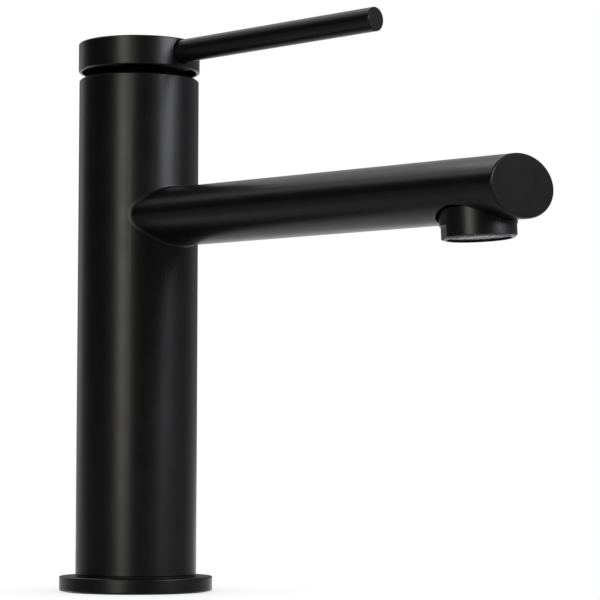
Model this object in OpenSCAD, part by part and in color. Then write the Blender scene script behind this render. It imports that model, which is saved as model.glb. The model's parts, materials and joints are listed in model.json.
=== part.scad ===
// Single-lever basin mixer: a round column on a base flange, a straight oval spout with an
// aerator under its end, and a flat round cap with a pin lever that works a ceramic cartridge.
// Millimetres, +Z up, deck at z = 0, column on the Z axis, spout and lever along -Y.

/* [Column and base] */
// Outside diameter of the column
column_d = 45; // [45:0.1:46]
// Wall thickness of the column
column_wall = 3; // [2.8:0.1:3]
// Height of the column's top edge above the deck
column_top = 191.8; // [191.6:0.1:192.6]
// Diameter of the base flange
flange_d = 57; // [56:0.2:66]
// Height of the base flange's top face above the deck
flange_top = 5.7; // [5:0.1:6]

/* [Spout] */
// Height of the spout's axis above the deck
spout_z = 138.9; // [137:0.1:140.6]
// Width of the oval spout
spout_w = 35.5; // [35:0.1:36.4]
// Height of the oval spout
spout_h = 21.7; // [21.6:0.1:22.4]
// Distance from the column's axis to the spout's end face
spout_reach = 177.5; // [176:0.1:226]
// Wall thickness of the spout
spout_wall = 2.2; // [2:0.1:2.3]

/* [Aerator] */
// Outside diameter of the aerator shell
aerator_d = 26.3; // [26.2:0.1:26.6]
// Distance from the spout's end face back to the aerator's axis
aerator_setback = 18; // [18:0.1:22]
// Height of the aerator's lower edge above the deck
aerator_bottom = 122.3; // [122:0.1:123]
// Outward tilt of the jet, in degrees
aerator_tilt = 2; // [0:0.25:4]
// Sideways lean of the aerator, in degrees
aerator_lean = 1.75; // [-2:0.25:2]
// Turn of the two spanner flats about the aerator's axis, in degrees
aerator_flat_turn = 47; // [0:1:90]

/* [Handle] */
// Diameter of the handle cap
cap_d = 45.6; // [45.4:0.1:46]
// Height of the handle cap
cap_h = 10.9; // [10.9:0.1:12]
// Open gap between the column and the cap
cap_gap = 2.8; // [2.8:0.1:3.2]
// Diameter of the pin lever
lever_d = 8.6; // [8:0.1:8.6]
// Distance from the column's axis to the lever's tip
lever_reach = 115.2; // [90:0.1:140]
// Upward slope of the lever towards its tip, in degrees
lever_rise = 0.7; // [0:0.05:1]

/* [Cartridge] */
// Height of the seat that the cartridge stands on
seat_z = 154.6; // [154.6:0.1:155]
// Height of the lever's tilting axis
pivot_z = 176.6; // [176.6:0.1:177]
// Width across the square stem
stem_w = 8; // [7.6:0.1:8]

/* [Hidden] */
$fn = 96;

// Clearances: brazed or pressed joints, sliding fits, and cuts that run past a face
fit = 0.05;
slide = 0.1;
past = 1;

// Column and base
column_r = column_d / 2;
bore_r = column_r - column_wall;
column_foot = flange_top + 0.6;
seal_h = 1.9;
flange_foot = 0.3;
flange_bore_r = 18;
block_foot = column_foot + 3.3;
block_top = block_foot + 18.4;
port_x = 8.4;
port_y = -3.4;
waterway_r = 3.2;
hose_thread_r = 4.5;
hose_thread_len = 12;
riser_r = 4;
riser_grip = 6;
stud_y = 10.5;
stud_thread_r = 3.4;
stud_thread_len = 14;

// Spout
joint_gap = 0.03;
braze = 0.8;
end_cap_t = 3;
spout_tube_end = spout_reach - end_cap_t;
spout_in_w = spout_w - 2 * spout_wall;
spout_in_h = spout_h - 2 * spout_wall;

// Aerator, heights along its own axis from its lower edge
aerator_r = aerator_d / 2;
aerator_reach = spout_reach - aerator_setback;
aerator_bore_r = 11;
aerator_neck_r = 11.9;
aerator_shoulder = 10.4;
aerator_neck_top = 17;
flat_width = 23.9;
flat_h = 4.7;
recess_r = aerator_r + 1.15;
recess_top = 11.2;
washer_top = 18.2;
socket_len = 31;
socket_port_r = 9.5;
socket_roof = spout_z + 4.9;

// Valve block and cartridge
block_bottom = seat_z - 30;
outlet_y = 6;
outlet_r = 3.8;
cup_top = seat_z + 17;
housing_r = 17.45;
housing_in_r = 16.3;
neck_r = 13.6;
neck_in_r = 12.1;
housing_shoulder = seat_z + 18;
neck_top = seat_z + 32.5;
seal_r = 4.9;
outlet_seal_r = 5.3;
peg_x = 11.5;
peg_y = 8;
arm_len = 8.8;
ball_r = 2;
ball_z = pivot_z - arm_len;
collar_r = neck_in_r - 0.06;
collar_top = neck_top - 0.5;
pin_r = 1.5;
slot_half_y = 9.6;
nut_foot = housing_shoulder + 0.1;
nut_top = nut_foot + 7.9;
turn_limit = 50;
stop_w = 3;
stop_apart = 16;

// Handle
cap_r = cap_d / 2;
cap_bottom = column_top + cap_gap;
cap_top = cap_bottom + cap_h;
cap_rim = 1.2;
hollow_h = 4.8;
hub_r = 8;
rib_w = 13;
stem_top = cap_top - 2.5;
lever_r = lever_d / 2;
lever_z = cap_bottom + 5.8;
stud_r = 2.95;
lever_root = 20.9;
washer_t = 0.75;
recess_side = lever_r + 0.3;

// Surface finishes
coat = "#1c1c1e";
brass = "#b08d4a";
rubber = "#141414";
plastic = "#d9d6cc";
dark_plastic = "#202020";
ceramic = "#f1efe8";
steel = "#9a9a9a";

// ---- Shape helpers ----

// Disc or rod of radius r between two heights
module rod(r, low, high) {
    translate([0, 0, low]) cylinder(r = r, h = high - low);
}

// Plain ring between two radii and two heights
module ring(r_out, r_in, low, high) {
    difference() {
        rod(r_out, low, high);
        rod(r_in, low - past, high + past);
    }
}

// Solid of revolution from (radius, height) points
module turned(points) {
    rotate_extrude() polygon(points);
}

// Both supply ports, one on each side
module at_ports() {
    for (side = [-1, 1]) translate([side * port_x, port_y, 0]) children();
}

// Extrusion along the spout between two distances from the column's axis
module along_spout(from, to) {
    translate([0, -from, spout_z]) rotate([90, 0, 0]) linear_extrude(to - from) children();
}

// Oval outline
module oval(w, h) {
    scale([w, h]) circle(d = 1);
}

// Rod along the spout's direction at a given height
module rod_y(r, z, from, to) {
    translate([0, -from, z]) rotate([90, 0, 0]) cylinder(r = r, h = to - from);
}

// The aerator's own axis, with its lower edge at height 0
module on_aerator_axis() {
    translate([0, -aerator_reach, aerator_bottom]) rotate([-aerator_tilt, -aerator_lean, 0])
        children();
}

// The lever's own axis, measured outwards from the column's axis
module on_lever_axis() {
    translate([0, 0, lever_z]) rotate([90 - lever_rise, 0, 0]) children();
}

// Round recess in the underside of the spout, and the thread above it for the aerator's neck
module aerator_recess() {
    on_aerator_axis() {
        rod(recess_r, -past, recess_top);
        rod(aerator_neck_r + fit, recess_top - past, washer_top);
    }
}

// ---- Base and column ----

module deck_seal() {
    color(rubber) ring(flange_d / 2 - 2, flange_d / 2 - 6.5, 0, seal_h);
}

module base_flange() {
    edge = 0.35;
    r = flange_d / 2;
    color(coat) difference() {
        union() {
            turned([
                [flange_bore_r, flange_foot], [r - edge, flange_foot], [r, flange_foot + edge],
                [r, flange_top - edge], [r - edge, flange_top], [flange_bore_r, flange_top]
            ]);
            ring(bore_r - slide, flange_bore_r, flange_top - past, block_foot - 0.2);
        }
        ring(r - 2 + fit, r - 6.5 - fit, flange_foot - past, seal_h + fit);
    }
}

// Set back from the column's side, so that a narrow dark gap shows above the flange
module column_gasket() {
    color(rubber) ring(column_r - 0.8, bore_r, flange_top + 0.02, column_foot - 0.02);
}

module base_block() {
    color(brass) difference() {
        rod(bore_r - fit, block_foot, block_top);
        at_ports() {
            rod(hose_thread_r, block_foot - past, block_foot + hose_thread_len);
            rod(waterway_r, block_foot, block_top + past);
            rod(riser_r + fit, block_top - riser_grip, block_top + past);
        }
        translate([0, stud_y, 0])
            rod(stud_thread_r, block_foot - past, block_foot + stud_thread_len);
    }
}

module riser_tubes() {
    groove = 2.6;
    low = block_top - riser_grip + fit;
    high = block_bottom + riser_grip - fit;
    color(plastic) at_ports() difference() {
        ring(riser_r, waterway_r, low, high);
        for (z = [low + 1.5, high - 1.5 - groove / 2])
            ring(riser_r + past, riser_r - 0.4, z, z + groove / 2);
    }
}

module riser_o_rings() {
    seat = 1.3;
    low = block_top - riser_grip + fit + 1.5;
    high = block_bottom + riser_grip - fit - 1.5 - seat;
    color(rubber) at_ports() for (z = [low, high])
        ring(riser_r + 0.03, riser_r - 0.37, z + 0.05, z + seat - 0.05);
}

module column_shell() {
    top_edge = 0.6;
    foot_edge = 0.2;
    color(coat) difference() {
        turned([
            [bore_r, column_foot], [column_r - foot_edge, column_foot],
            [column_r, column_foot + foot_edge], [column_r, column_top - top_edge],
            [column_r - top_edge, column_top], [bore_r, column_top]
        ]);
        along_spout(0, column_r + past) oval(spout_w + 2 * joint_gap, spout_h + 2 * joint_gap);
    }
}

module valve_seat() {
    cross_r = 4.2;
    mouth_r = 7;
    color(brass) difference() {
        union() {
            rod(bore_r - fit, block_bottom, seat_z);
            ring(bore_r - fit, housing_r + slide, seat_z - past, cup_top);
        }
        at_ports() {
            rod(waterway_r, block_bottom - past, seat_z + past);
            rod(riser_r + fit, block_bottom - past, block_bottom + riser_grip);
        }
        translate([0, outlet_y, 0]) rod(outlet_r, spout_z, seat_z + past);
        rod_y(cross_r, spout_z, -outlet_y, bore_r + past);
        rod_y(mouth_r, spout_z, bore_r - 4, bore_r + past);
        for (side = [-1, 1]) translate([side * peg_x, peg_y, 0]) rod(2, seat_z - 3, seat_z + past);
    }
}

// ---- Spout ----

module spout_tube() {
    color(coat) difference() {
        along_spout(0, spout_tube_end) oval(spout_w, spout_h);
        along_spout(0, spout_reach) oval(spout_in_w, spout_in_h);
        rod(bore_r, spout_z - spout_h, spout_z + spout_h);
        aerator_recess();
    }
}

// Bead of braze round the spout where it leaves the column
module spout_braze() {
    gap = 0.02;
    color(coat) difference() {
        intersection() {
            along_spout(column_r / 2, column_r + 3) oval(spout_w + 2 * braze, spout_h + 2 * braze);
            rod(column_r + braze, spout_z - spout_h, spout_z + spout_h);
        }
        rod(column_r + gap, spout_z - spout_h - past, spout_z + spout_h + past);
        along_spout(0, column_r + 4) oval(spout_w + 2 * gap, spout_h + 2 * gap);
    }
}

// Plate that closes the spout, flush with it, with a narrow chamfer round the end face
module spout_end_cap() {
    edge = 0.5;
    shrink = [1 - 2 * edge / spout_w, 1 - 2 * edge / spout_h];
    color(coat) {
        along_spout(spout_tube_end + 0.02, spout_reach - edge) oval(spout_w, spout_h);
        translate([0, -spout_reach + edge, spout_z]) rotate([90, 0, 0])
            linear_extrude(edge, scale = shrink, slices = 1) oval(spout_w, spout_h);
    }
}

// Block brazed into the spout's end, with the thread for the aerator
module aerator_socket() {
    color(coat) difference() {
        along_spout(spout_tube_end - socket_len, spout_tube_end - 0.1)
            oval(spout_in_w - 2 * fit, spout_in_h - 2 * fit);
        aerator_recess();
        on_aerator_axis() rod(socket_port_r, 0, spout_h * 2);
        translate([-spout_w / 2, -spout_reach, socket_roof])
            cube([spout_w, spout_reach, spout_h]);
    }
}

// ---- Aerator ----

module aerator_washer() {
    color(rubber) on_aerator_axis() ring(11.7, 9.4, aerator_neck_top + 0.02, washer_top - 0.02);
}

module aerator_filter() {
    color(plastic) on_aerator_axis() turned([
        [0, 14.3], [10.6, 14.3], [10.6, 15], [8, 16.2], [0, 16.8]
    ]);
}

module flow_regulator() {
    hole_r = 0.9;
    hole_circle = 6;
    color(plastic) on_aerator_axis() difference() {
        rod(10.6, 11.4, 14.2);
        for (turn = [0 : 45 : 315])
            rotate([0, 0, turn]) translate([hole_circle, 0, 0]) rod(hole_r, 11, 15);
    }
}

// Outlet grid: a round plug with a hexagonal field of jet holes
module aerator_insert() {
    pitch = 3.6;
    hole_r = 0.8;
    rows = 2;
    color(dark_plastic) on_aerator_axis() difference() {
        rod(aerator_bore_r - fit, 0.7, 11.3);
        for (i = [-rows : rows], j = [-rows : rows])
            if (abs(i + j) <= rows)
                translate([pitch * (i + j / 2), pitch * j * sin(60), 0]) rod(hole_r, 0, 12);
    }
}

module aerator_shell() {
    foot_r = 11.6;
    bevel_h = 0.6;
    color(coat) on_aerator_axis() difference() {
        turned([
            [aerator_bore_r, 0], [foot_r, 0], [aerator_r, bevel_h],
            [aerator_r, aerator_shoulder - 0.2], [aerator_r - 0.2, aerator_shoulder],
            [aerator_neck_r, aerator_shoulder], [aerator_neck_r, aerator_neck_top],
            [aerator_bore_r, aerator_neck_top]
        ]);
        rotate([0, 0, aerator_flat_turn]) for (side = [0, 180])
            rotate([0, 0, side]) translate([-aerator_r, flat_width / 2, -past])
                cube([aerator_d, aerator_r, flat_h + past]);
    }
}

// ---- Cartridge ----

module inlet_seals() {
    color(rubber) at_ports() ring(seal_r, waterway_r + fit, seat_z + 0.02, seat_z + 1.75);
}

module outlet_seal() {
    color(rubber) translate([0, outlet_y, 0])
        ring(outlet_seal_r, outlet_r + fit, seat_z + 0.02, seat_z + 1.75);
}

module cartridge_base() {
    low = seat_z + 0.6;
    color(plastic) difference() {
        union() {
            rod(housing_r, low, seat_z + 2.4);
            rod(housing_in_r - slide, low, seat_z + 4.8);
            for (side = [-1, 1])
                translate([side * peg_x, peg_y, 0]) rod(1.9, seat_z - 2.5, seat_z + 2);
        }
        at_ports() {
            rod(waterway_r, low - past, seat_z + 5);
            rod(seal_r + fit, low - past, seat_z + 1.8);
        }
        translate([0, outlet_y, 0]) {
            rod(outlet_r, low - past, seat_z + 5);
            rod(outlet_seal_r + fit, low - past, seat_z + 1.8);
        }
    }
}

module fixed_disc() {
    low = seat_z + 4.85;
    high = seat_z + 7.6;
    color(ceramic) difference() {
        rod(15.9, low, high);
        at_ports() rod(waterway_r, low - past, high + past);
        translate([0, outlet_y, 0]) rod(outlet_r, low - past, high + past);
    }
}

// Sliding disc with the mixing chamber in its lower face
module moving_disc() {
    low = seat_z + 7.62;
    chamber_h = 1.8;
    drive_w = 10;
    color(ceramic) difference() {
        rod(12.9, low, seat_z + 10.6);
        translate([0, outlet_y, 0]) rod(outlet_r, low - past, low + chamber_h);
        translate([-11, 0.4, low - past]) cube([22, 4.2, chamber_h + past]);
        translate([-drive_w / 2, -drive_w / 2, seat_z + 9.9]) cube([drive_w, drive_w, past]);
    }
}

module disc_carrier() {
    low = seat_z + 10.62;
    drive_w = 9.8;
    color(plastic) difference() {
        union() {
            rod(11.5, low, ball_z + 0.8);
            translate([-drive_w / 2, -drive_w / 2, low - 0.65]) cube([drive_w, drive_w, past]);
        }
        translate([-3.2, -ball_r - 0.12, ball_z - ball_r - 0.2])
            cube([6.4, 2 * ball_r + 0.24, ball_r * 3]);
    }
}

// Lug at the front of the neck, between two radii and two heights
module stop_lug(r_out, r_in, low, high) {
    intersection() {
        ring(r_out, r_in, low, high);
        translate([-stop_w / 2, -bore_r, low - past]) cube([stop_w, bore_r, high - low + 2 * past]);
    }
}

// Housing with a shoulder for the nut, and a neck with the two end stops of the turn on top
module cartridge_housing() {
    roof = housing_shoulder - 1.5;
    color(plastic) union() {
        turned([
            [housing_in_r, seat_z + 2.5], [housing_r, seat_z + 2.5],
            [housing_r, housing_shoulder], [neck_r, housing_shoulder],
            [neck_r, neck_top], [neck_in_r, neck_top],
            [neck_in_r, roof], [housing_in_r, roof]
        ]);
        for (side = [-1, 1]) rotate([0, 0, side * (turn_limit + stop_apart)])
            stop_lug(neck_r - 0.1, neck_in_r + 0.3, neck_top - past, neck_top + 1.7);
    }
}

// Turning collar that holds the stem's pivot and turns inside the neck
module rotor_collar() {
    low = seat_z + 15.2;
    slot_half_x = stem_w / 2 + slide;
    color(plastic) difference() {
        union() {
            rod(15.8, low, low + 1.1);
            rod(collar_r, low, collar_top);
        }
        translate([-slot_half_x, -slot_half_y, low - past])
            cube([2 * slot_half_x, 2 * slot_half_y, collar_top - low + 2 * past]);
        translate([-collar_r, 0, pivot_z]) rotate([0, 90, 0])
            cylinder(r = pin_r + 0.02, h = 2 * collar_r);
    }
}

module pivot_pin() {
    half = collar_r - 0.5;
    color(steel) translate([-half, 0, pivot_z]) rotate([0, 90, 0])
        cylinder(r = pin_r, h = 2 * half);
}

// Ring keyed on the turning collar, whose tab meets the housing's end stops
module limit_ring() {
    low = collar_top + fit;
    high = low + 2.2;
    color("#8c1c1c") union() {
        ring(collar_r, 10.6, low, high);
        stop_lug(neck_r - 0.2, collar_r - past, neck_top + 0.3, high);
    }
}

module retaining_nut() {
    key_w = 4;
    color(brass) difference() {
        ring(bore_r - fit, neck_r + 0.3, nut_foot, nut_top);
        for (turn = [0, 90]) rotate([0, 0, turn])
            translate([-bore_r, -key_w / 2, nut_top - 2]) cube([2 * bore_r, key_w, 3]);
    }
}

module trim_ring() {
    low = nut_top + 0.1;
    high = column_top - 1.2;
    color(coat) turned([
        [neck_r + 0.6, low], [bore_r - slide, low], [bore_r - slide, high],
        [neck_r + 1.6, high], [neck_r + 0.6, high - 1]
    ]);
}

// ---- Handle ----

// Square stem, pivot eye, and the arm whose ball drives the disc carrier
module stem() {
    half_x = stem_w / 2 - fit;
    color(coat) difference() {
        union() {
            translate([-half_x, -stem_w / 2, pivot_z])
                cube([2 * half_x, stem_w, stem_top - pivot_z]);
            translate([-half_x, 0, pivot_z]) rotate([0, 90, 0])
                cylinder(r = stem_w / 2 + 0.3, h = 2 * half_x);
            rod(1.5, ball_z, pivot_z - 3);
            translate([0, 0, ball_z]) sphere(r = ball_r);
        }
        translate([-stem_w, 0, pivot_z]) rotate([0, 90, 0])
            cylinder(r = pin_r + fit, h = 2 * stem_w);
    }
}

module handle_cap() {
    edge = 0.4;
    socket_w = stem_w + slide;
    color(coat) difference() {
        turned([
            [0, cap_bottom], [cap_r - edge, cap_bottom], [cap_r, cap_bottom + edge],
            [cap_r, cap_top - edge], [cap_r - edge, cap_top], [0, cap_top]
        ]);
        // hollow under the cap, kept clear of the hub and of the rib behind the lever
        difference() {
            rod(cap_r - cap_rim, cap_bottom - past, cap_bottom + hollow_h);
            rod(hub_r, cap_bottom - past, cap_top);
            translate([-rib_w / 2, -cap_r, cap_bottom - past]) cube([rib_w, cap_r, cap_h]);
        }
        translate([-socket_w / 2, -socket_w / 2, cap_bottom - past])
            cube([socket_w, socket_w, stem_top + 0.2 - cap_bottom + past]);
        on_lever_axis() {
            rod(stud_r + fit, stem_w / 4, cap_r);
            rod(recess_side, lever_root - washer_t - fit, cap_r + past);
        }
    }
}

module grub_screw() {
    key_r = 1.5;
    inner_end = stem_w / 2 + 0.08;
    color(steel) on_lever_axis() difference() {
        rod(stud_r, inner_end, inner_end + 6);
        translate([0, 0, inner_end + 3]) cylinder(r = key_r, h = 4, $fn = 6);
    }
}

module lever_washer() {
    color(rubber) on_lever_axis()
        ring(lever_r - 0.1, stud_r + 0.1, lever_root - washer_t - 0.02, lever_root - 0.02);
}

module lever() {
    root_edge = 0.4;
    tip_edge = 0.3;
    color(coat) on_lever_axis() turned([
        [0, lever_root - 7.5], [stud_r, lever_root - 7.5], [stud_r, lever_root],
        [lever_r - root_edge, lever_root], [lever_r, lever_root + root_edge],
        [lever_r, lever_reach - tip_edge], [lever_r - tip_edge, lever_reach], [0, lever_reach]
    ]);
}

deck_seal();
base_flange();
column_gasket();
base_block();
riser_tubes();
riser_o_rings();
column_shell();
valve_seat();
spout_tube();
spout_braze();
spout_end_cap();
aerator_socket();
aerator_washer();
aerator_filter();
flow_regulator();
aerator_insert();
aerator_shell();
inlet_seals();
outlet_seal();
cartridge_base();
fixed_disc();
moving_disc();
disc_carrier();
cartridge_housing();
rotor_collar();
pivot_pin();
limit_ring();
retaining_nut();
trim_ring();
stem();
handle_cap();
grub_screw();
lever_washer();
lever();
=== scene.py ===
"""Looks of the matt black basin mixer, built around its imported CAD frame.

Metres, +Z up, deck at z = 0, column on the Z axis, spout and lever along -Y.
"""
import json
import math

import bmesh
import bpy
from mathutils import Matrix, Vector


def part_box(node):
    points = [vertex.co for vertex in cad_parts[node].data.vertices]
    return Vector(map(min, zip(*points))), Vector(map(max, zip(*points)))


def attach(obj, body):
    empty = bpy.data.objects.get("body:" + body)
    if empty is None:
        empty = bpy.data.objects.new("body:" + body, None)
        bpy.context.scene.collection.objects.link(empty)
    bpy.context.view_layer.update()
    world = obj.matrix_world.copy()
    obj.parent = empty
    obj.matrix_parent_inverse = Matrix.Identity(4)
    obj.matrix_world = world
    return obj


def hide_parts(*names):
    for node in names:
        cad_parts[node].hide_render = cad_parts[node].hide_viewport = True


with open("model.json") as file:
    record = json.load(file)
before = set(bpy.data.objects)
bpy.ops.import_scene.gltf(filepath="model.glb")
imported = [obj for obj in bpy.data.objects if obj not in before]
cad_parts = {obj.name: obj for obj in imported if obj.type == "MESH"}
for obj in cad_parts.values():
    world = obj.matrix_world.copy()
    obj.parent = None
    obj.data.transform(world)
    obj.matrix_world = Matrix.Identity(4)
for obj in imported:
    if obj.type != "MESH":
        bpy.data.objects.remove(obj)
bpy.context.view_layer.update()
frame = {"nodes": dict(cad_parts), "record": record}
NODES = frame["nodes"]
MM = 0.001

# ---- Camera, as the photograph was taken ----
BEARING = math.radians(45.345)
CAMERA_DISTANCE = 0.90981
CAMERA_HEIGHT = 0.04747
CAMERA_YAW = 0.0671
CAMERA_PITCH = 0.0676
CAMERA_ROLL = 0.0024
LENS = 145.227
SENSOR = 36.0


def turned_about_z(vector, angle):
    return Matrix.Rotation(angle, 3, "Z") @ Vector(vector)


def make_camera():
    """Level with the column's lower half, looking slightly up, a long lens."""
    forward = Vector((math.sin(CAMERA_YAW) * math.cos(CAMERA_PITCH),
                      math.cos(CAMERA_YAW) * math.cos(CAMERA_PITCH),
                      math.sin(CAMERA_PITCH)))
    right = Vector((math.cos(CAMERA_YAW), -math.sin(CAMERA_YAW), 0.0))
    up = right.cross(forward)
    c, s = math.cos(CAMERA_ROLL), math.sin(CAMERA_ROLL)
    right, up = c * right + s * up, c * up - s * right
    axes = [turned_about_z(v, -BEARING) for v in (right, up, -forward)]
    place = turned_about_z((0.0, -CAMERA_DISTANCE, 0.0), -BEARING)
    place.z = CAMERA_HEIGHT
    data = bpy.data.cameras.new("camera")
    data.lens = LENS
    data.sensor_width = SENSOR
    data.clip_start = 0.01
    data.clip_end = 20.0
    camera = bpy.data.objects.new("camera", data)
    bpy.context.scene.collection.objects.link(camera)
    camera.matrix_world = Matrix((
        (axes[0].x, axes[1].x, axes[2].x, place.x),
        (axes[0].y, axes[1].y, axes[2].y, place.y),
        (axes[0].z, axes[1].z, axes[2].z, place.z),
        (0.0, 0.0, 0.0, 1.0)))
    bpy.context.scene.camera = camera


# ---- Stage and light ----
FLOOR_SIZE = 6.0
FLOOR_SHADE_REACH = 0.06
BACKDROP_RADIUS = 4.0
LIGHT_AIM_HEIGHT = 0.1

# Brightness of the floor and of the dim room, as the tap reflects them
FLOOR_FRONT = 0.056
FLOOR_LEFT = 0.148
FLOOR_RIGHT = 0.18
FLOOR_BACK = 0.52
FLOOR_BELOW = 0.12
ROOM_FRONT = 0.037
ROOM_RIGHT = 0.13
ROOM_BACK = 0.20


def towards(bearing, elevation):
    """Unit vector from the tap at a bearing to the right of the camera, in degrees."""
    side = math.radians(bearing) - BEARING
    rise = math.radians(elevation)
    return Vector((math.sin(side) * math.cos(rise), -math.cos(side) * math.cos(rise), math.sin(rise)))


def node_chain(tree):
    """Short way to add a node with its settings and sockets filled in, _0 being its first socket."""
    def add(kind, settings=None, **values):
        node = tree.nodes.new(kind)
        for name, value in (settings or {}).items():
            setattr(node, name, value)
        for name, value in values.items():
            key = int(name[1:]) if name[1:].isdigit() else name.replace("_", " ")
            socket = node.inputs[key]
            if hasattr(value, "links"):
                tree.links.new(value, socket)
            else:
                socket.default_value = value
        return node
    return add


def new_material(name):
    material = bpy.data.materials.new(name)
    material.use_nodes = True
    material.node_tree.nodes.clear()
    return material, node_chain(material.node_tree)


def only_for_camera(obj):
    obj.visible_diffuse = False
    obj.visible_glossy = False
    obj.visible_transmission = False
    obj.visible_volume_scatter = False
    obj.visible_shadow = False


def make_floor():
    """Plain pale floor, a little darker right round the foot of the tap: a painted contact shadow."""
    half = FLOOR_SIZE / 2
    corners = [(-half, -half, 0), (half, -half, 0), (half, half, 0), (-half, half, 0)]
    mesh = bpy.data.meshes.new("floor")
    mesh.from_pydata(corners, [], [(0, 1, 2, 3)])
    floor = bpy.data.objects.new("floor", mesh)
    bpy.context.scene.collection.objects.link(floor)
    material, add = new_material("floor")
    # Painted contact shadow: the floor's glow dims where the tap stands close by.
    occlusion = add("ShaderNodeAmbientOcclusion", {"samples": 16}, Distance=FLOOR_SHADE_REACH)
    painted_shadow_tone = add("ShaderNodeMapRange", None, Value=occlusion.outputs["AO"], From_Min=0.3, From_Max=0.95,
               To_Min=0.72, To_Max=1.0)
    glow = add("ShaderNodeEmission", None, Strength=painted_shadow_tone.outputs[0])
    add("ShaderNodeOutputMaterial", None, Surface=glow.outputs[0])
    mesh.materials.append(material)
    only_for_camera(floor)


def make_backdrop():
    """White studio all round, seen by the camera only."""
    mesh = bpy.data.meshes.new("backdrop")
    bm = bmesh.new()
    bmesh.ops.create_uvsphere(bm, u_segments=48, v_segments=24, radius=BACKDROP_RADIUS)
    bm.to_mesh(mesh)
    bm.free()
    dome = bpy.data.objects.new("backdrop", mesh)
    bpy.context.scene.collection.objects.link(dome)
    material, add = new_material("backdrop")
    glow = add("ShaderNodeEmission", None, Color=(1.0, 1.0, 1.0, 1.0), Strength=1.0)
    add("ShaderNodeOutputMaterial", None, Surface=glow.outputs[0])
    mesh.materials.append(material)
    only_for_camera(dome)


def make_world():
    """Dim room over a pale floor, which looks brighter the further behind the tap it lies."""
    world = bpy.data.worlds.new("studio")
    bpy.context.scene.world = world
    world.use_nodes = True
    tree = world.node_tree
    tree.nodes.clear()
    add = node_chain(tree)
    where = add("ShaderNodeTexCoord").outputs["Generated"]
    height = add("ShaderNodeSeparateXYZ", None, Vector=where).outputs["Z"]

    def smooth(value, start, end, low, high):
        return add("ShaderNodeMapRange", {"interpolation_type": "SMOOTHSTEP"}, Value=value,
                   From_Min=start, From_Max=end, To_Min=low, To_Max=high).outputs[0]

    def side(bearing, strength):
        facing = add("ShaderNodeVectorMath", {"operation": "DOT_PRODUCT"},
                     _0=where, _1=towards(bearing, 0.0))
        return smooth(facing.outputs["Value"], 0.2, 0.95, 0.0, strength)

    def total(values):
        level = values[0]
        for value in values[1:]:
            level = add("ShaderNodeMath", {"operation": "ADD"}, _0=level, _1=value).outputs[0]
        return level

    floor = total([side(0.0, FLOOR_FRONT), side(-90.0, FLOOR_LEFT), side(90.0, FLOOR_RIGHT),
                   side(180.0, FLOOR_BACK)])
    room = total([side(0.0, ROOM_FRONT), side(90.0, ROOM_RIGHT), side(180.0, ROOM_BACK)])
    lower = smooth(height, -0.05, 0.05, 1.0, 0.0)
    split = add("ShaderNodeMix", {"data_type": "FLOAT"}, _0=lower, _2=room, _3=floor).outputs[0]
    level = total([split, smooth(height, -0.3, -0.8, 0.0, FLOOR_BELOW)])
    glow = add("ShaderNodeBackground", None, Color=(0.98, 0.97, 1.0, 1.0), Strength=level)
    add("ShaderNodeOutputWorld", None, Surface=glow.outputs[0])


def softbox(name, bearing, elevation, distance, width, height, radiance, colour):
    """Rectangular light facing the tap. The radiance sets its brightness in a reflection."""
    data = bpy.data.lights.new(name, "AREA")
    data.shape = "RECTANGLE"
    data.size = width
    data.size_y = height
    data.energy = radiance * math.pi * width * height
    data.color = colour
    light = bpy.data.objects.new(name, data)
    bpy.context.scene.collection.objects.link(light)
    aim = towards(bearing, elevation)
    light.location = Vector((0.0, 0.0, LIGHT_AIM_HEIGHT)) + aim * distance
    light.rotation_mode = "QUATERNION"
    light.rotation_quaternion = aim.to_track_quat("Z", "Y")
    light.visible_camera = False


def make_lights():
    """Tall warm boxes to the left, a cooler wide one to the right and higher, soft ones behind.

    The two bounce lights are low and lift the back of the tap.
    """
    softbox("key_left", -33.0, 10.0, 1.5, 0.30, 0.60, 2.95, (1.0, 1.0, 0.96))
    softbox("key_left_warm", -26.0, 10.0, 1.5, 0.36, 0.60, 1.7, (1.0, 0.97, 0.78))
    softbox("key_left_edge", -16.0, 10.0, 1.5, 0.45, 0.60, 0.45, (0.96, 0.97, 1.0))
    softbox("key_left_low", -26.0, -3.0, 1.5, 0.36, 0.30, 2.2, (1.0, 0.98, 0.94))
    softbox("key_right", 57.0, 20.5, 1.5, 0.66, 0.36, 11.3, (0.94, 0.95, 1.0))
    softbox("key_right_edge", 76.0, 20.0, 1.5, 0.28, 0.36, 1.3, (0.85, 0.93, 1.0))
    softbox("key_right_low", 51.0, 4.0, 1.5, 0.36, 0.60, 0.32, (0.95, 0.93, 1.0))
    softbox("rim_left", -143.0, 10.0, 1.5, 0.60, 0.60, 0.47, (0.97, 0.98, 1.0))
    softbox("rim_left_high", -150.0, 35.0, 1.5, 0.75, 0.50, 1.0, (1.0, 1.0, 0.99))
    softbox("rim_left_side", -120.0, 35.0, 1.5, 0.75, 0.50, 0.29, (1.0, 1.0, 1.0))
    softbox("over_left", -90.0, 58.0, 1.5, 0.90, 0.60, 1.1, (0.99, 0.99, 1.0))
    softbox("over_back", -172.0, 60.0, 1.5, 1.05, 0.60, 1.65, (1.0, 1.0, 1.0))
    softbox("back_wall", 180.0, 30.0, 1.5, 0.90, 0.45, 0.5, (1.0, 1.0, 1.0))
    softbox("floor_behind", 175.0, -10.0, 1.6, 1.60, 0.40, 0.75, (1.0, 1.0, 1.0))
    softbox("bounce_left", -125.0, -26.0, 1.5, 0.50, 0.40, 3.2, (1.0, 1.0, 0.98))
    softbox("bounce_right", 120.0, -25.0, 1.5, 0.40, 0.40, 1.2, (0.97, 0.98, 1.0))


# ---- Materials ----
COAT_DARK = (0.0062, 0.0062, 0.0066)
COAT_LIGHT = (0.0082, 0.0082, 0.0086)
COAT_RUBBED = (0.03, 0.03, 0.031)
COAT_ROUGH = 0.33
GAP_REACH = 16.0 * MM


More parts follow.
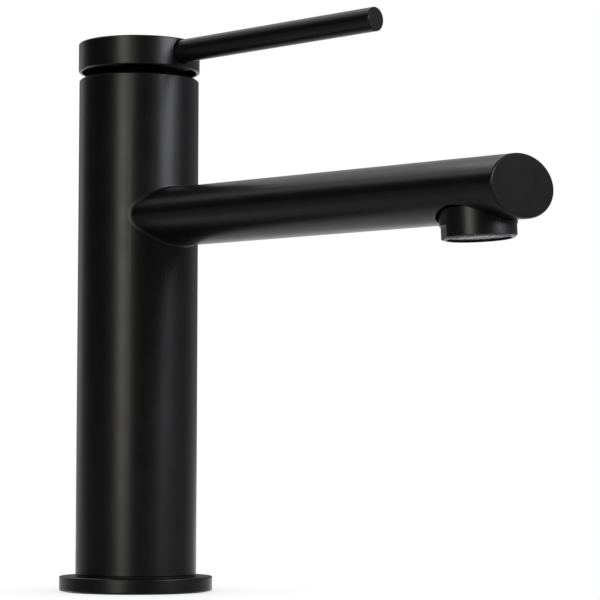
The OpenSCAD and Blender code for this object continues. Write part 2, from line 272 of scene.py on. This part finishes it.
def mixed(add, factor, low, high):
    """Colour between two, by a factor from 0 to 1."""
    mix = add("ShaderNodeMix", {"data_type": "RGBA"}, _0=factor, _6=(*low, 1.0), _7=(*high, 1.0))
    return mix.outputs[2]


def spread(add, value, low, high, out_low, out_high):
    return add("ShaderNodeMapRange", None, Value=value, From_Min=low, From_Max=high,
               To_Min=out_low, To_Max=out_high).outputs[0]


def edge_mask(add, radius):
    """1 at an outer or inner corner, 0 on the open surface."""
    soft = add("ShaderNodeBevel", {"samples": 6}, Radius=radius)
    sharp = add("ShaderNodeNewGeometry")
    same = add("ShaderNodeVectorMath", {"operation": "DOT_PRODUCT"},
               _0=soft.outputs[0], _1=sharp.outputs["Normal"])
    return spread(add, same.outputs["Value"], 1.0, 0.9, 0.0, 1.0)


def openness(add, reach):
    """0 deep in a narrow gap, 1 on the open surface and in plain corners; it masks the painted shade in
    gaps.
    """
    around = add("ShaderNodeAmbientOcclusion", {"samples": 8}, Distance=reach)
    return spread(add, around.outputs["AO"], 0.25, 0.5, 0.0, 1.0)


def grain(add, scale, detail=3.0):
    place = add("ShaderNodeTexCoord").outputs["Object"]
    noise = add("ShaderNodeTexNoise", None, Vector=place, Scale=scale, Detail=detail, Roughness=0.55)
    return noise.outputs["Fac"]


def black_coat():
    """Satin powder coat: fine grain, faint orange peel, paler rubbed edges, and painted shade deep in a
    gap, where its specular is turned off.
    """
    material, add = new_material("black_coat")
    cloud = grain(add, 90.0)
    fine = grain(add, 2600.0, 2.0)
    peel = grain(add, 420.0, 2.0)
    edges = edge_mask(add, 0.5 * MM)
    body = mixed(add, spread(add, cloud, 0.35, 0.65, 0.0, 1.0), COAT_DARK, COAT_LIGHT)
    tree = material.node_tree
    worn = add("ShaderNodeMix", {"data_type": "RGBA"}, _6=body, _7=(*COAT_RUBBED, 1.0))
    patchy = spread(add, fine, 0.3, 0.7, 0.2, 0.6)
    share = add("ShaderNodeMath", {"operation": "MULTIPLY"}, _0=edges, _1=patchy)
    tree.links.new(share.outputs[0], worn.inputs[0])
    broad = spread(add, cloud, 0.3, 0.7, COAT_ROUGH - 0.02, COAT_ROUGH + 0.02)
    narrow = spread(add, fine, 0.3, 0.7, -0.015, 0.015)
    gloss = add("ShaderNodeMath", {"operation": "ADD"}, _0=broad, _1=narrow)
    waves = add("ShaderNodeBump", None, Strength=0.12, Distance=0.02 * MM, Height=peel)
    relief = add("ShaderNodeBump", None, Strength=0.25, Distance=0.01 * MM, Height=fine,
                 Normal=waves.outputs[0])
    # Painted shade: the specular level falls to nothing deep in narrow gaps.
    gap_shaded_specular = add("ShaderNodeMath", {"operation": "MULTIPLY"}, _0=openness(add, GAP_REACH), _1=0.5)
    coat = add("ShaderNodeBsdfPrincipled", None, Base_Color=worn.outputs[2], Roughness=gloss.outputs[0],
               IOR=1.5, Specular_IOR_Level=gap_shaded_specular.outputs[0], Normal=relief.outputs[0])
    add("ShaderNodeOutputMaterial", None, Surface=coat.outputs[0])
    return material


def turned_metal(name, dark, light, roughness):
    """Machined metal: fine tool rings round the Z axis and a paler, polished colour at the edges and
    corners.
    """
    material, add = new_material(name)
    place = add("ShaderNodeTexCoord").outputs["Object"]
    rings = add("ShaderNodeTexWave", {"wave_type": "BANDS", "bands_direction": "Z"}, Vector=place,
                Scale=900.0, Distortion=0.6, Detail=2.0).outputs["Fac"]
    cloud = grain(add, 160.0)
    edges = edge_mask(add, 0.3 * MM)
    body = mixed(add, spread(add, cloud, 0.35, 0.7, 0.0, 1.0), dark, light)
    polished = [min(1.0, v * 1.25) for v in light]
    bright = add("ShaderNodeMix", {"data_type": "RGBA"}, _0=edges, _6=body, _7=(*polished, 1.0))
    broad = spread(add, cloud, 0.3, 0.7, roughness - 0.05, roughness + 0.05)
    narrow = spread(add, rings, 0.0, 1.0, -0.03, 0.03)
    gloss = add("ShaderNodeMath", {"operation": "ADD"}, _0=broad, _1=narrow)
    relief = add("ShaderNodeBump", None, Strength=0.3, Distance=0.01 * MM, Height=rings)
    metal = add("ShaderNodeBsdfPrincipled", None, Base_Color=bright.outputs[2], Metallic=1.0,
                Roughness=gloss.outputs[0], Normal=relief.outputs[0])
    add("ShaderNodeOutputMaterial", None, Surface=metal.outputs[0])
    return material


def moulded(name, dark, light, roughness, relief_height, ior=1.48, scatter=0.0):
    """Moulded or pressed material: speckled colour, fine surface grain, paler corners."""
    material, add = new_material(name)
    cloud = grain(add, 220.0)
    fine = grain(add, 3200.0, 2.0)
    edges = edge_mask(add, 0.3 * MM)
    body = mixed(add, spread(add, cloud, 0.3, 0.7, 0.0, 1.0), dark, light)
    paler = add("ShaderNodeMix", {"data_type": "RGBA"}, _0=spread(add, edges, 0.0, 1.0, 0.0, 0.4), _6=body,
                _7=(*[min(1.0, v * 1.3 + 0.004) for v in light], 1.0))
    gloss = spread(add, fine, 0.3, 0.7, roughness - 0.05, roughness + 0.05)
    relief = add("ShaderNodeBump", None, Strength=0.3, Distance=relief_height, Height=fine)
    skin = add("ShaderNodeBsdfPrincipled", None, Base_Color=paler.outputs[2], Roughness=gloss, IOR=ior,
               Subsurface_Weight=scatter, Subsurface_Scale=0.001, Normal=relief.outputs[0])
    add("ShaderNodeOutputMaterial", None, Surface=skin.outputs[0])
    return material


def make_materials():
    return {
        "black_coat": black_coat(),
        "rubber": moulded("rubber", (0.006, 0.006, 0.006), (0.011, 0.011, 0.011), 0.6, 0.02 * MM),
        "brass": turned_metal("brass", (0.50, 0.33, 0.12), (0.66, 0.47, 0.21), 0.28),
        "steel": turned_metal("steel", (0.42, 0.42, 0.41), (0.56, 0.56, 0.55), 0.25),
        "white_plastic": moulded("white_plastic", (0.62, 0.61, 0.55), (0.74, 0.73, 0.68), 0.42,
                                 0.01 * MM, 1.48, 0.1),
        "black_plastic": moulded("black_plastic", (0.008, 0.008, 0.008), (0.013, 0.013, 0.013), 0.3,
                                 0.01 * MM),
        "grey_plastic": moulded("grey_plastic", (0.25, 0.26, 0.26), (0.32, 0.33, 0.33), 0.42, 0.01 * MM),
        "red_plastic": moulded("red_plastic", (0.36, 0.03, 0.02), (0.48, 0.05, 0.035), 0.4, 0.01 * MM),
        "disc_ceramic": moulded("disc_ceramic", (0.78, 0.76, 0.70), (0.86, 0.84, 0.79), 0.16,
                                0.002 * MM, 1.7),
    }


def paint(obj, material):
    """Gives every face of the object this material."""
    if not obj.material_slots:
        obj.data.materials.append(material)
    for entry in obj.material_slots:
        entry.material = material


# ---- Rounding of the CAD pieces ----
SOFT_EDGES = {
    "column_shell": 0.3 * MM, "handle_cap": 0.25 * MM, "base_flange": 0.2 * MM, "aerator_shell": 0.3 * MM,
    "lever": 0.12 * MM,
}


def soften(node, width):
    """Real coated edges aren't sharp: joins the faces, then rounds each corner of the node."""
    obj = NODES[node]
    join = obj.modifiers.new("join", "WELD")
    join.merge_threshold = 0.002 * MM
    merge = obj.modifiers.new("merge", "DECIMATE")
    merge.decimate_type = "DISSOLVE"
    merge.angle_limit = math.radians(0.4)
    bevel = obj.modifiers.new("round", "BEVEL")
    bevel.width = width
    bevel.segments = 3
    bevel.limit_method = "ANGLE"
    bevel.angle_limit = math.radians(28.0)
    normals = obj.modifiers.new("shade", "WEIGHTED_NORMAL")
    normals.keep_sharp = False
    normals.weight = 100


# ---- Pieces built here instead of the plain CAD ones ----
END_EDGE = 0.6 * MM
FILLET = 0.8 * MM
OVAL_POINTS = 256
ARC_STEPS = 8


def ring_mesh(name, rings, closed_profile, face_caps, sharp_rings):
    """Mesh from rings of points, each joined to the next, smooth except at the sharp rings."""
    mesh = bpy.data.meshes.new(name)
    bm = bmesh.new()
    loops = [[bm.verts.new(point) for point in ring] for ring in rings]
    pairs = list(zip(loops, loops[1:]))
    if closed_profile:
        pairs.append((loops[-1], loops[0]))
    count = len(rings[0])
    for near, far in pairs:
        for i in range(count):
            j = (i + 1) % count
            bm.faces.new((near[i], near[j], far[j], far[i]))
    if face_caps:
        bm.faces.new(loops[0])
        bm.faces.new(loops[-1])
    bmesh.ops.recalc_face_normals(bm, faces=bm.faces)
    for face in bm.faces:
        face.smooth = True
    for ring in sharp_rings:
        for i in range(count):
            bm.edges.get((loops[ring][i], loops[ring][(i + 1) % count])).smooth = False
    bm.to_mesh(mesh)
    bm.free()
    obj = bpy.data.objects.new(name, mesh)
    bpy.context.scene.collection.objects.link(obj)
    normals = obj.modifiers.new("shade", "WEIGHTED_NORMAL")
    normals.keep_sharp = True
    normals.weight = 100
    return obj


def oval_points(half_w, half_h, count, inset):
    """Points round an oval outline, moved inwards along its normal: (x, z) pairs."""
    points = []
    for i in range(count):
        turn = 2.0 * math.pi * i / count
        across = Vector((math.cos(turn) / half_w, math.sin(turn) / half_h)).normalized()
        points.append((half_w * math.cos(turn) - across.x * inset,
                       half_h * math.sin(turn) - across.y * inset))
    return points


def make_spout_end():
    """End plate of the spout with its edge rounded over, as the coat leaves it."""
    low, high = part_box("spout_end_cap")
    half_w, half_h = (high.x - low.x) / 2, (high.z - low.z) / 2
    axis_z = (low.z + high.z) / 2
    profile = [(high.y, 0.0)]
    for i in range(ARC_STEPS + 1):
        turn = math.pi / 2 * i / ARC_STEPS
        profile.append((low.y + END_EDGE * (1.0 - math.sin(turn)), END_EDGE * (1.0 - math.cos(turn))))
    rings = []
    for y, inset in profile:
        outline = oval_points(half_w, half_h, OVAL_POINTS, inset)
        rings.append([(x, y, axis_z + z) for x, z in outline])
    return ring_mesh("spout_end_rounded", rings, False, True, [0])


def make_spout_fillet():
    """Smooth hollow of braze between the column and the spout."""
    low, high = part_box("spout_end_cap")
    half_w, half_h = (high.x - low.x) / 2, (high.z - low.z) / 2
    axis_z = (low.z + high.z) / 2
    column_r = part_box("column_shell")[1].x
    sink = 0.03 * MM
    profile = [(-sink, -sink), (FILLET, -sink)]
    for i in range(ARC_STEPS + 1):
        turn = math.pi / 2 * i / ARC_STEPS
        profile.append((FILLET * (1.0 - math.sin(turn)), FILLET * (1.0 - math.cos(turn))))
    profile.append((-sink, FILLET))
    rings = []
    for out, along in profile:
        ring = []
        for x, z in oval_points(half_w, half_h, OVAL_POINTS, -out):
            ring.append((x, -math.sqrt(column_r ** 2 - x ** 2) - along, axis_z + z))
        rings.append(ring)
    return ring_mesh("spout_fillet", rings, True, False, [0, 1, 2, -2, -1])


def build_extras(materials):
    """Puts the two built pieces in place of their CAD nodes, then rounds the CAD edges."""
    for piece, node in ((make_spout_end(), "spout_end_cap"), (make_spout_fillet(), "spout_braze")):
        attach(piece, "tap_body")
        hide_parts(node)
        paint(piece, materials["black_coat"])
    for node, width in SOFT_EDGES.items():
        soften(node, width)


bpy.context.scene.view_settings.view_transform = "Standard"
make_camera()
make_floor()
make_backdrop()
make_world()
make_lights()
MATERIALS = make_materials()
for part in frame["record"]["subparts"]:
    paint(NODES[part["node"]], MATERIALS[part["material_slot"]])
build_extras(MATERIALS)
